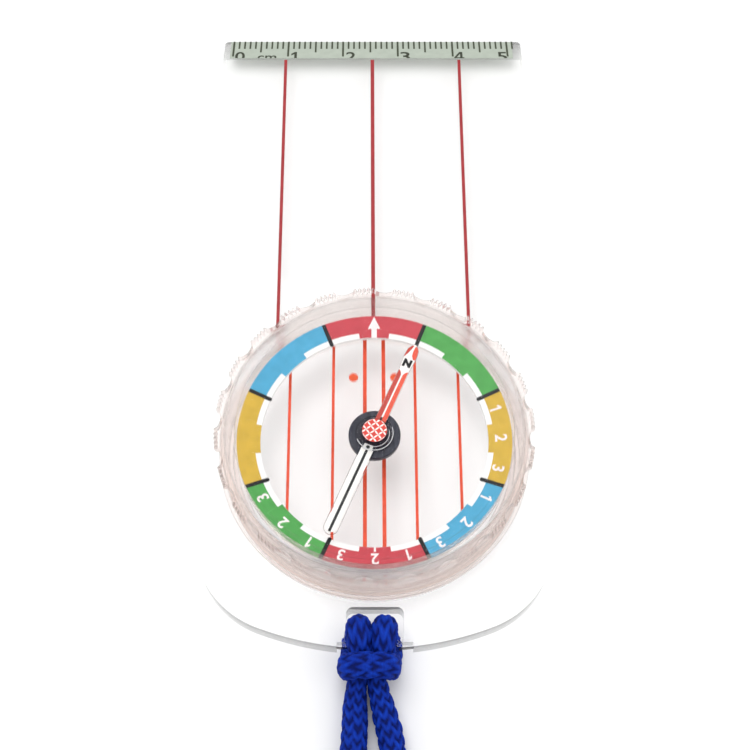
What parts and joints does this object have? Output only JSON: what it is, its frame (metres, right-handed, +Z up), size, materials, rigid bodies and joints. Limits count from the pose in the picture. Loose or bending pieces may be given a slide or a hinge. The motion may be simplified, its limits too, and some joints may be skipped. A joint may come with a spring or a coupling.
{
  "type": "baseplate compass",
  "caption": "Clear baseplate compass with a centimetre scale on its bevelled far edge, a turning toothed capsule dial, a free needle and a hitched cord lanyard.",
  "frame": {"origin": "middle of the plate's length and width, on its underside, with the lanyard left out", "axes": "+Z up out of the dial, +Y along the direction of travel towards the scale edge, +X to the right"},
  "size_m": [0.0724, 0.2, 0.0127],
  "materials": {
    "clear_plate": "clear moulded acrylic with polished faces",
    "clear_dial": "clear moulded plastic with a slightly warm tint in its thick walls",
    "clear_capsule": "clear moulded plastic",
    "clear_window": "clear polished window",
    "clear_needle": "clear moulded plastic",
    "dark_red_print": "stamped dark red ink",
    "orange_red_print": "printed orange-red ink",
    "grey_green_print": "printed grey-green band",
    "black_print": "printed black ink",
    "white_plastic": "satin white moulded plastic",
    "needle_red": "printed red foil",
    "needle_white": "printed white foil",
    "dark_magnet": "sintered magnet with a dark slate coat",
    "jewel": "polished synthetic jewel",
    "steel": "ground hard steel pin",
    "blue_cord": "braided royal blue polyester cord"
  },
  "bodies": {
    "base": {"baseplate": "clear_plate", "direction_lines": "dark_red_print", "scale_strip": "grey_green_print", "scale_marks": "black_print", "glide_ring": "white_plastic", "lanyard_hitch": "blue_cord", "lanyard_left": "blue_cord", "lanyard_right": "blue_cord", "lanyard_coil": "blue_cord", "lanyard_knot": "blue_cord"},
    "dial": {"bezel": "clear_dial", "retaining_ring": "clear_dial", "capsule_cup": "clear_capsule", "capsule_lid": "clear_window", "colour_ring": "white_plastic", "orienting_lines": "orange_red_print", "north_dots": "orange_red_print", "pivot_pin": "steel", "filler_plug": "white_plastic"},
    "needle": {"needle_blade": "clear_needle", "needle_north_face": "needle_red", "needle_south_face": "needle_white", "needle_magnet": "dark_magnet", "needle_jewel": "jewel", "hub_cap": "clear_needle", "hub_label": "needle_red"}
  },
  "joints": [
    {"name": "dial_turn", "type": "hinge", "parent": "base", "child": "dial", "pos_m": [0, -0.0255, 0.0036], "axis": [0, 0, 1], "continuous": true},
    {"name": "needle_swing", "type": "hinge", "parent": "base", "child": "needle", "pos_m": [0, -0.0255, 0.0111], "axis": [0, 0, 1], "continuous": true}
  ]
}
